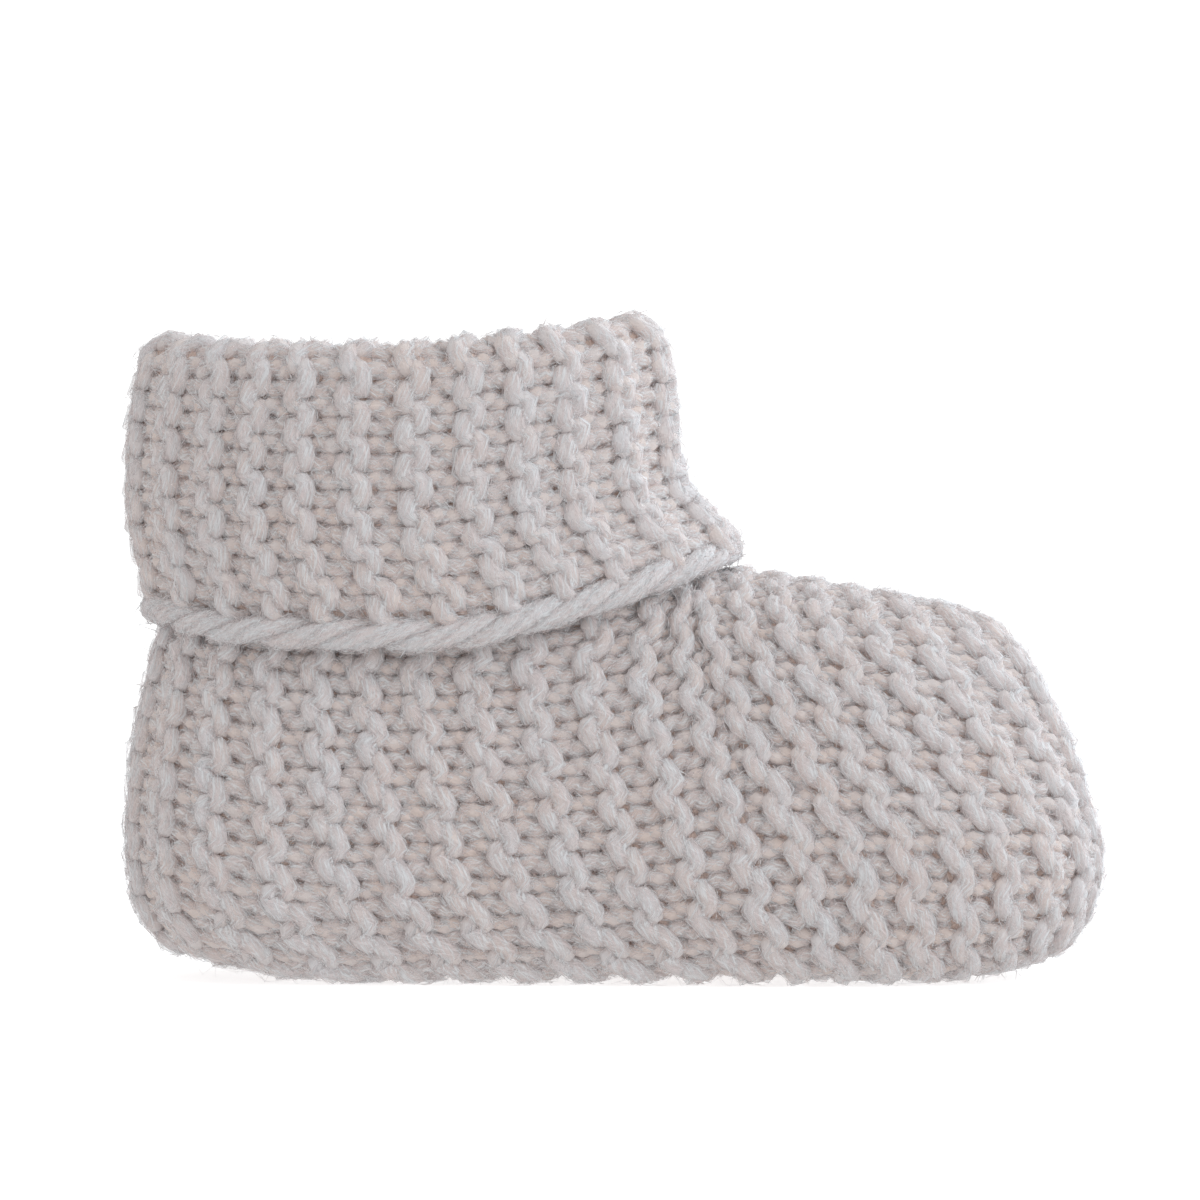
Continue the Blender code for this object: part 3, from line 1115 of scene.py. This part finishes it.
@dataclass(frozen=True)
class Fleece:
    """The loose outside of the yarn: fibres in two crossing directions with air between them."""

    name: str
    dark: Colour = (0.88, 0.76, 0.75)
    light: Colour = (0.92, 0.93, 0.945)
    tone_ramp: tuple[float, float] = (0.4, 0.6)
    twists: tuple[float, float] = (0.05, -0.07)
    stretch: float = 0.22
    apart: float = 90.0
    grain: Grain = Grain(4.6, 1.0, 0.6)
    cover: tuple[float, float] = (0.46, 0.74)
    strength: float = 0.55
    haze: float = 0.18
    roughness: float = 0.9
    specular: float = 0.1

    def build(self) -> bpy.types.Material:
        """Makes the material: it covers where the thicker of both sets of fibres lies.

        Returns:
            The material.
        """
        tree = ShaderTree(self.name)
        yarn = tree.yarn()
        places = [tree.round_yarn(yarn, twist, self.stretch, twist * self.apart) for twist in self.twists]
        sets = [tree.noise(place, self.grain) for place in places]
        cover = tree.ramp(tree.math("MAXIMUM", *sets), *self.cover)
        return tree.dress({
            "Base Color": tree.mix(tree.ramp(sets[0], *self.tone_ramp), self.dark, self.light),
            "Alpha": cover * self.strength + self.haze,
            "Roughness": self.roughness,
            "Specular IOR Level": self.specular,
        })


@dataclass(frozen=True)
class PaintedShadeSheet:
    """A sheet of painted shade in the middle of the fabric: darker and warmer, since little light gets there.
    """

    name: str
    light: Colour = (0.82, 0.63, 0.555)
    dark: Colour = (0.58, 0.42, 0.355)
    grain: Grain = Grain(900.0, 3.0, 0.6)
    grain_ramp: tuple[float, float] = (0.35, 0.65)
    roughness: float = 0.95
    specular: float = 0.1
    bump_strength: float = 0.8
    bump_height: float = 0.3

    def build(self) -> bpy.types.Material:
        """Makes the material.

        Returns:
            The material.
        """
        tree = ShaderTree(self.name)
        grain = tree.ramp(tree.noise(tree.place(), self.grain), *self.grain_ramp)
        return tree.dress({
            # The whole sheet is painted shade: dark, warm colour that shows in the gaps between the strands
            "Base Color": tree.mix(grain, self.dark, self.light),
            "Roughness": self.roughness,
            "Specular IOR Level": self.specular,
            "Normal": tree.bump(grain, self.bump_strength, self.bump_height * MM),
        })


@dataclass(frozen=True)
class Hair:
    """A kind of loose fibre.

    stations are places along it, the first and last being its tips, and rise is how steeply it leaves the
    yarn. length and rise are ranges, and bend is a standard deviation.
    """

    stations: tuple[float, ...]
    length: tuple[float, float]
    thickness: float
    bend: float
    rise: tuple[float, float]


@dataclass
class Halo:
    """Loose fibres that stand off the yarn: thin spindles that leave it at a low angle and bend.

    Flanks are the ends of the range of turns about the yarn where fibres stand, in half turns.
    """

    rng: np.random.Generator
    fuzz: Hair = Hair((0.0, 0.5, 1.0), (0.6, 1.5), 0.090, 0.4, (0.0, 0.3))
    hair: Hair = Hair((0.0, 0.36, 0.7, 1.0), (1.2, 2.8), 0.034, 0.6, (0.05, 0.4))
    corners: int = 3
    lowest_flank: float = -0.1
    highest_flanks: tuple[float, float] = (0.3, 0.6)
    sideways: float = 0.35
    clearance: float = 1.04
    fall_back: float = 1.35
    girth_spread: tuple[float, float] = (0.7, 1.3)
    lowest: float = 0.05

    def build(self, name: str, skein: Skein, fuzz: int, hairs: int) -> bpy.types.Object:
        """Makes the fibres of one skein.

        Args:
            name: the object's name.
            skein: the yarns that they stand on.
            fuzz: how many short fibres.
            hairs: how many long ones.

        Returns:
            The object, each fibre a closed spindle, with its tone as the attribute "tone".
        """
        points, quads, ends, sizes, done = [], [], [], [], 0
        corner = np.arange(self.corners)
        after = np.roll(corner, -1)
        for kind, count in ((self.fuzz, fuzz), (self.hair, hairs)):
            spindles = self.spindles(skein, kind, count)
            size = spindles.shape[1]
            rings = [1 + self.corners * level + corner for level in range(len(kind.stations) - 2)]
            root, tip = np.zeros_like(corner), np.full_like(corner, size - 1)
            base = done + np.arange(count)[:, None, None] * size
            for near, far in zip(rings, rings[1:], strict=False):
                quads.append((np.stack([near, near[after], far[after], far], axis=-1) + base).reshape(-1, 4))
            ends.append((np.stack([root, rings[0][after], rings[0]], axis=-1) + base).reshape(-1, 3))
            ends.append((np.stack([tip, rings[-1], rings[-1][after]], axis=-1) + base).reshape(-1, 3))
            points.append(spindles.reshape(-1, 3))
            sizes.append(np.full(count, size))
            done += count * size
        piece = add_mesh(name, np.concatenate(points), np.concatenate(quads), np.concatenate(ends))
        tones = [np.repeat(self.rng.random(len(each)), each) for each in sizes]
        values = np.concatenate(tones).astype(np.float32)
        piece.data.attributes.new("tone", "FLOAT", "POINT").data.foreach_set("value", values)
        return piece

    def spindles(self, skein: Skein, kind: Hair, count: int) -> Array:
        """Points of fibres: the root, rings of corners, the tip.

        A fibre runs along the yarn, and leaves it sideways as the square of its length and outwards as a
        parabola.

        Args:
            skein: the yarns that they stand on.
            kind: the kind of fibre.
            count: how many.

        Returns:
            Points, fibre by fibre, in millimetres.
        """
        rng = self.rng
        weight = skein.shows.ravel()
        pick = rng.choice(weight.size, count, p=weight / weight.sum())
        row, sample = np.unravel_index(pick, skein.depth.shape)
        tangent, across, above = (direction[row, sample] for direction in skein.frames())
        above = above * skein.front[row, sample][:, None]
        flank = rng.uniform(self.lowest_flank * pi, rng.choice(self.highest_flanks, count) * pi)
        turn = np.where(rng.random(count) < 0.5, flank, pi - flank)[:, None]
        out = np.cos(turn) * across + np.sin(turn) * above
        round_about = -np.sin(turn) * across + np.cos(turn) * above
        way = np.where(rng.random(count) < 0.5, -1.0, 1.0)[:, None]
        length = rng.uniform(*kind.length, count)[:, None]
        sideways = rng.normal(0, self.sideways, (count, 1))
        bend = rng.normal(0, kind.bend, (count, 1))
        rise = rng.uniform(*kind.rise, (count, 1))
        start = skein.paths[row, sample] + self.clearance * skein.radii[row, sample][:, None] * out
        t = np.array(kind.stations)[None, :, None]
        line = (
            start[:, None]
            + (length[:, None] * t) * (way * tangent)[:, None]
            + (length * sideways)[:, None] * t * round_about[:, None]
            + (length * bend)[:, None] * t**2 * round_about[:, None]
            + (length * rise)[:, None] * t * (self.fall_back - t) * out[:, None]
        )
        line[..., 2] = np.maximum(line[..., 2], self.lowest)
        along = unit(np.gradient(line, axis=1))
        first = unit(np.cross(along, out[:, None]))
        second = np.cross(along, first)
        middle = slice(1, -1)
        corner = 2 * pi * np.arange(self.corners) / self.corners
        girth = kind.thickness / 2 * rng.uniform(*self.girth_spread, (count, 1, 1))
        ring = (
            line[:, middle, None]
            + (girth * np.cos(corner))[..., None] * first[:, middle, None]
            + (girth * np.sin(corner))[..., None] * second[:, middle, None]
        ).reshape(count, -1, 3)
        return np.concatenate([line[:, :1], ring, line[:, -1:]], axis=1)


@dataclass
class Assembly:
    """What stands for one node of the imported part, with its wool and the finishes of what goes with it.

    linings holds the finishes of halo, fleece and core by those words.
    """

    last: Last
    rng: np.random.Generator
    halo: Halo
    wool: Wool
    linings: dict[str, bpy.types.Material]
    node: ClassVar[str]

    def dress(self, pieces: list[bpy.types.Object]) -> list[bpy.types.Object]:
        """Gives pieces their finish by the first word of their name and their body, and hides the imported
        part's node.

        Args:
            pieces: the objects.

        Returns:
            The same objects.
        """
        wool = self.wool.build()
        for piece in pieces:
            kind = piece.name.split("_")[0]
            piece.data.materials.append(self.linings.get(kind, wool))
            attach(piece, "root")
            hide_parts(self.node)
        return pieces


@dataclass
class Upper(Assembly):
    """The hollow upper: rows of stitches round the leg and the foot and hoops over the forefoot."""

    node: ClassVar[str] = "upper"
    stitch: Stitch = Stitch()
    tube: YarnTube = YarnTube()
    fleece: YarnTube = FLEECE_TUBE
    fleece_step: int = 2
    side_fibres: tuple[int, int] = (10400, 4200)
    forefoot_fibres: tuple[int, int] = (6600, 2800)
    turns_front: tuple[float, float] = (-4.5, -2.0)
    hidden_above: tuple[float, float] = (-7.0, -5.5)
    hidden_below: tuple[float, float] = (1.0, -0.5)
    hidden_share: float = 0.9
    fold_wale: float = -6.0
    fold_reach: float = 2.0
    worn_reach: float = 3.0
    worn_share: float = 0.7
    core_steps: int = 4
    core_sunk: float = 0.2
    core_thickness: float = 0.3

    def facing(self, wale: Array) -> Array:
        """1 on the foot, -1 on the cuff and the top of the leg, changing where the cuff hides the leg."""
        return 2 * ramp(wale, *self.turns_front) - 1

    def outside(self, wale: Array) -> Array:
        """How much fuzz is seen: all of it on the cuff and the foot, little where the cuff hides the leg."""
        return 1.0 - self.hidden_share * ramp(wale, *self.hidden_above) * ramp(wale, *self.hidden_below)

    def folded(self, wale: Array) -> Array:
        """How far the ridges are pressed flat: most where the fabric folds over into the cuff."""
        return smooth_step(1.0 - np.abs(wale - self.fold_wale) / self.fold_reach)

    def worn(self, wale: Array) -> Array:
        """How far the hoops' ridges are pressed flat: some on the instep."""
        return self.worn_share * smooth_step(1.0 - np.abs(wale) / self.worn_reach)

    def core(
        self, name: str, rows: KnitRows, courses: tuple[int, int], wales: tuple[int, int]
    ) -> bpy.types.Object:
        """Makes a thin closed sheet of painted shade in the middle of the fabric, which waves with the
        ridges.

        Args:
            name: the object's name.
            rows: the rows that it lies inside.
            courses: the first and last course.
            wales: the first and last wale.

        Returns:
            The object.
        """
        course = np.linspace(*courses, (courses[1] - courses[0]) * self.core_steps + 1)[None, :]
        wale = np.linspace(*wales, (wales[1] - wales[0]) * self.core_steps + 1)[:, None]
        course, wale = np.broadcast_arrays(course, wale)
        middle = -rows.facing(wale) * (self.stitch.ridge * np.cos(2 * pi * course) + self.core_sunk)
        course = rows.drawn(course, wale)
        half = self.core_thickness / 2
        outer = rows.patch.place(course, wale, middle + half)
        inner = rows.patch.place(course, wale, middle - half)
        if rows.side is Side.RIGHT:
            outer, inner = mirrored(inner), mirrored(outer)
        return add_sheet(name, outer, inner)

    def panel(
        self,
        name: str,
        rows: KnitRows,
        courses: tuple[int, int],
        wales: tuple[int, int],
        fibres: tuple[int, int],
    ) -> list[bpy.types.Object]:
        """Makes a panel's yarns, their halo, their fleece and the sheet of painted shade inside the fabric.

        Args:
            name: what the objects' names end in.
            rows: the rows to lay.
            courses: the first and last course.
            wales: the first and last wale.
            fibres: how many short and long fibres stand on it.

        Returns:
            The objects.
        """
        numbers = np.arange(2 * courses[0], 2 * courses[1])
        first, last = (np.full(len(numbers), float(wale)) for wale in wales)
        skein = rows.lay(numbers, (first, last))
        return [
            self.tube.build(f"knit_{name}", skein, self.rng),
            self.halo.build(f"halo_{name}", skein, *fibres),
            self.fleece.build(f"fleece_{name}", skein.thinned(self.fleece_step), self.rng),
            self.core(f"core_{name}", rows, courses, wales),
        ]

    def build(self) -> list[bpy.types.Object]:
        """Makes the panels of both sides and the hoops over the forefoot.

        Returns:
            The objects.
        """
        fabric, last = Fabric(self.last), self.last
        pieces = []
        for side in Side:
            laws = (self.facing, self.outside, self.folded, fabric.drawn)
            rows = KnitRows(fabric.side, self.stitch, self.rng, side, *laws)
            wales = (fabric.first_wale, fabric.foot_wales)
            pieces += self.panel(side.name.lower(), rows, (0, last.leg_courses), wales, self.side_fibres)
        hoops = KnitRows(fabric.hoops, self.stitch, self.rng, pressed=self.worn, drawn=fabric.drawn_over)
        courses, wales = (last.leg_courses, last.foot_courses), (-fabric.foot_wales, fabric.foot_wales)
        return pieces + self.panel("forefoot", hoops, courses, wales, self.forefoot_fibres)


@dataclass
class SolePanel(Assembly):
    """The sole: rows of stitches across the foot, inside the strip that the upper turns under."""

    node: ClassVar[str] = "sole"
    stitch: Stitch = Stitch()
    tube: YarnTube = YarnTube()
    fleece: YarnTube = FLEECE_TUBE
    fleece_step: int = 2
    inset: float = 7.6
    core_inset: float = 6.2
    core_thickness: float = 0.3
    core_rows: int = 6
    core_columns: int = 60
    row_step: float = 2.87
    wale_step: float = 3.8
    half_wales: int = 5
    per_unit: int = 8

    def height(self, x: Array) -> Array:
        """The middle of the panel's fabric, which follows the lift at heel and toe."""
        return self.last.fabric / 2 + self.last.lift(x)

    def core(self) -> bpy.types.Object:
        """Makes a thin closed sheet of painted shade in the middle of the panel, which reaches in over the
        strip's edge.

        Returns:
            The object.
        """
        outline = self.last.foot_outline(self.core_inset)[:: self.last.outline_steps // self.core_columns]
        x, half = outline[:, 0], np.maximum(outline[:, 1], self.core_thickness)
        share = np.linspace(-1.0, 1.0, self.core_rows)[:, None]
        middle = np.stack(np.broadcast_arrays(x, half * share, self.height(x)), axis=-1)
        rise = np.array([0.0, 0.0, self.core_thickness / 2])
        return add_sheet("core_sole", middle + rise, middle - rise)

    def build(self) -> list[bpy.types.Object]:
        """Makes the panel: a flat patch, with each row as long as the outline is wide there.

        Returns:
            The objects.
        """
        outline = self.last.foot_outline(self.inset)
        course_step = 2 * self.row_step
        heel, toe = outline[0, 0], outline[-1, 0]
        courses = int(np.floor((toe - heel) / course_step))
        start = (heel + toe - courses * course_step) / 2
        columns = np.arange(-self.per_unit, (courses + 1) * self.per_unit + 1) / self.per_unit
        half = self.half_wales
        wales = np.arange(-half * self.per_unit, half * self.per_unit + 1) / self.per_unit
        x = start + columns * course_step
        grid = np.stack(np.broadcast_arrays(x, self.wale_step * wales[:, None], self.height(x)), axis=-1)
        rows = np.arange(2 * courses)
        row_x = start + (rows + 0.5) / 2 * course_step
        reach = np.interp(row_x, outline[:, 0], outline[:, 1]) / self.wale_step
        patch = Patch(grid, -1, -half, self.per_unit)
        knit = KnitRows(patch, self.stitch, self.rng, facing=lambda wale: -np.ones_like(wale))
        skein = knit.lay(rows, (-reach, reach))
        return [
            self.tube.build("knit_sole", skein, self.rng),
            self.fleece.build("fleece_sole", skein.thinned(self.fleece_step), self.rng),
            self.core(),
        ]


@dataclass
class RolledEdge(Assembly):
    """The edge of the cuff: a rope of two strands, each a pair of yarns, half a turn of it to each ridge.

    In front it thins and tucks under the end of the cuff. Strays are the random part of each measure.
    """

    node: ClassVar[str] = "cuff_edge"
    tube: YarnTube = YarnTube(sides=7, width=1.0, height=1.0)
    fleece: YarnTube = YarnTube(sides=6, width=1.3, height=1.3)
    fleece_step: int = 3
    fibres: tuple[int, int] = (4200, 900)
    lay_radius: float = 0.72
    yarn: float = 0.86
    pair_angle: float = 0.80
    samples: int = 421
    stations: int = 200
    tuck: tuple[float, float, float] = (-0.7, 0.0, -1.0)
    tuck_start: float = 0.72
    heel_tuck: float = 0.7
    heel_end: float = 0.25
    taper: float = 0.3
    overlap: float = 0.05
    turn_stray: float = 0.12
    size_stray: float = 0.05
    turn_knots: int = 30
    lay_knots: int = 40
    yarn_knots: int = 60

    def skein(self) -> Skein:
        """Lays the yarns: circles about the ring's line, turning pi for each course.

        Returns:
            The skein.
        """
        angle = np.linspace(-pi - self.overlap, pi + self.overlap, self.samples)
        share = np.abs(angle) / pi
        path = self.last.ring_point(self.last.edge_ring, np.abs(angle))
        path[:, 1] *= np.sign(angle)
        front = ramp(share, self.tuck_start, 1.0)
        path += np.array(self.tuck) * front[:, None]
        path[:, 0] += self.heel_tuck * smooth_step(1 - share / self.heel_end)
        full_size = 1 - self.taper * front
        courses = np.linspace(0, self.last.leg_courses, self.stations)
        course = np.interp(np.abs(angle), self.last.leg_angle(courses), courses) * np.sign(angle)
        tangent = unit(np.gradient(path, axis=0))
        side = unit(np.cross(tangent, [0.0, 0.0, 1.0]))
        above = np.cross(side, tangent)
        offsets = np.array([0.0, self.pair_angle, pi, pi + self.pair_angle])
        count = len(offsets)
        turn = pi * course + offsets[:, None]
        turn = turn + wander(self.rng, count, self.turn_knots, self.samples, self.turn_stray)
        stray = wander(self.rng, count, self.lay_knots, self.samples, self.size_stray)
        lay = full_size * self.lay_radius * (1 + stray)
        spoke = np.cos(turn)[..., None] * side + np.sin(turn)[..., None] * above
        paths = path + lay[..., None] * spoke
        stray = wander(self.rng, count, self.yarn_knots, self.samples, self.size_stray)
        radii = full_size * self.yarn * (1 + stray)
        none, full = np.zeros(radii.shape), np.ones(radii.shape)
        starts = self.rng.uniform(0, LONGEST_START, count)
        return Skein(paths, spoke, radii, none, starts, full, full)

    def build(self) -> list[bpy.types.Object]:
        """Makes the rope, its fleece and its halo of fibres.

        Returns:
            The objects.
        """
        skein = self.skein()
        return [
            self.tube.build("edge_rope", skein, self.rng),
            self.fleece.build("fleece_edge", skein.thinned(self.fleece_step), self.rng),
            self.halo.build("halo_edge", skein, *self.fibres),
        ]


@dataclass(frozen=True)
class Lamp:
    """A soft round lamp aimed at the bootie: its place in metres, its size and its power."""

    name: str
    place: tuple[float, float, float]
    size: float
    power: float
    colour: Colour = (0.82, 0.92, 1.0)

    def build(self, target: Vector) -> None:
        """Hangs the lamp.

        Args:
            target: what it shines at.
        """
        data = bpy.data.lights.new(self.name, "AREA")
        data.shape, data.size = "DISK", self.size
        data.energy, data.color = self.power, self.colour
        lamp = bpy.data.objects.new(self.name, data)
        lamp.location = self.place
        lamp.rotation_euler = (Vector(self.place) - target).to_track_quat("Z", "Y").to_euler()
        bpy.context.scene.collection.objects.link(lamp)


@dataclass
class Studio:
    """Camera, light and floor, in metres, with the elevation in degrees and the sensor in millimetres."""

    view_width: float = 0.1218
    target: tuple[float, float, float] = (-0.0014, 0.0, 0.0382)
    distance: float = 0.9
    elevation: float = 1.5
    sensor: float = 36.0
    nearest: float = 0.01
    white: Colour = (1.0, 1.0, 1.0)
    sky: float = 0.61
    gamma: float = 1.2
    lamps: tuple[Lamp, ...] = (
        Lamp("key", (0.75, -0.45, 0.5), 0.8, 2.4),
        Lamp("rim", (0.60, 0.45, 0.30), 0.7, 4.4),
    )
    floor_size: float = 3.0
    floor_behind: float = 0.8
    floor_bend: float = 0.6
    bend_steps: int = 24
    floor_colour: Colour = (0.9, 0.9, 0.9)
    floor_roughness: float = 0.9
    floor_glow: float = 0.60

    def build(self) -> None:
        """Sets up the camera, the lights and the floor."""
        scene = bpy.context.scene
        scene.camera = self.camera()
        scene.world = bpy.data.worlds.new("studio")
        scene.world.use_nodes = True
        inputs = scene.world.node_tree.nodes["Background"].inputs
        inputs["Color"].default_value = (*self.white, 1.0)
        inputs["Strength"].default_value = self.sky
        scene.view_settings.view_transform = "Standard"
        scene.view_settings.gamma = self.gamma
        for lamp in self.lamps:
            lamp.build(Vector(self.target))
        self.add_floor()

    def camera(self) -> bpy.types.Object:
        """Makes the camera, straight from the side and slightly above.

        Returns:
            The camera.
        """
        camera = bpy.data.objects.new("camera", bpy.data.cameras.new("camera"))
        bpy.context.scene.collection.objects.link(camera)
        tilt = radians(self.elevation)
        back = Vector((0.0, -np.cos(tilt), np.sin(tilt)))
        camera.location = Vector(self.target) + self.distance * back
        camera.rotation_euler = back.to_track_quat("Z", "Y").to_euler()
        camera.data.sensor_width = self.sensor
        camera.data.lens = self.sensor * self.distance / self.view_width
        camera.data.clip_start = self.nearest
        return camera

    def add_floor(self) -> None:
        """Adds the pale floor, which sweeps up behind the bootie on a quarter of a circle."""
        size, bend = self.floor_size, self.floor_bend
        turn = np.linspace(0, pi / 2, self.bend_steps)
        y = np.concatenate([[-size], self.floor_behind + bend * np.sin(turn), [self.floor_behind + bend]])
        z = np.concatenate([[0.0], bend - bend * np.cos(turn), [size]])
        x = np.array([-size, size])
        points = np.stack([np.tile(x, len(y)), np.repeat(y, 2), np.repeat(z, 2)], axis=-1) / MM
        low = np.arange(len(y) - 1) * 2
        faces = np.stack([low, low + 1, low + 3, low + 2], axis=-1)
        floor = add_mesh("floor", points, faces, NO_CAPS)
        finish = ShaderTree("pale_floor").dress({
            "Base Color": self.floor_colour,
            "Roughness": self.floor_roughness,
            "Emission Color": self.white,
            "Emission Strength": self.floor_glow,
        })
        floor.data.materials.append(finish)
        floor.visible_diffuse = False


def report(piece: bpy.types.Object) -> None:
    """Logs a piece's size."""
    piece.data.calc_loop_triangles()
    LOG.info("%s: %d triangles", piece.name, len(piece.data.loop_triangles))


def main() -> None:
    """Builds the bootie and its studio."""
    logging.basicConfig(level=logging.INFO, format="%(message)s")
    Studio().build()
    rng = np.random.default_rng(SEED)
    linings = {
        "halo": Fibre("loose_fibre").build(),
        # The core is a sheet of painted shade inside the fabric
        "core": PaintedShadeSheet("matted_core").build(),
        "fleece": Fleece("loose_fleece").build(),
    }
    shared = (Last(), rng, Halo(rng))
    # The rope's wool is a lighter copy of the upper's: a painted highlight where the rope stands out into the
    # light
    edge_wool = Wool("edge_wool", cool=(0.94, 0.93, 0.945), warm=(0.95, 0.86, 0.845))
    for assembly in (
        Upper(*shared, Wool("upper_wool"), linings),
        SolePanel(*shared, Wool("sole_wool"), linings),
        RolledEdge(*shared, edge_wool, linings),
    ):
        for piece in assembly.dress(assembly.build()):
            report(piece)


if __name__ == "__main__":
    main()
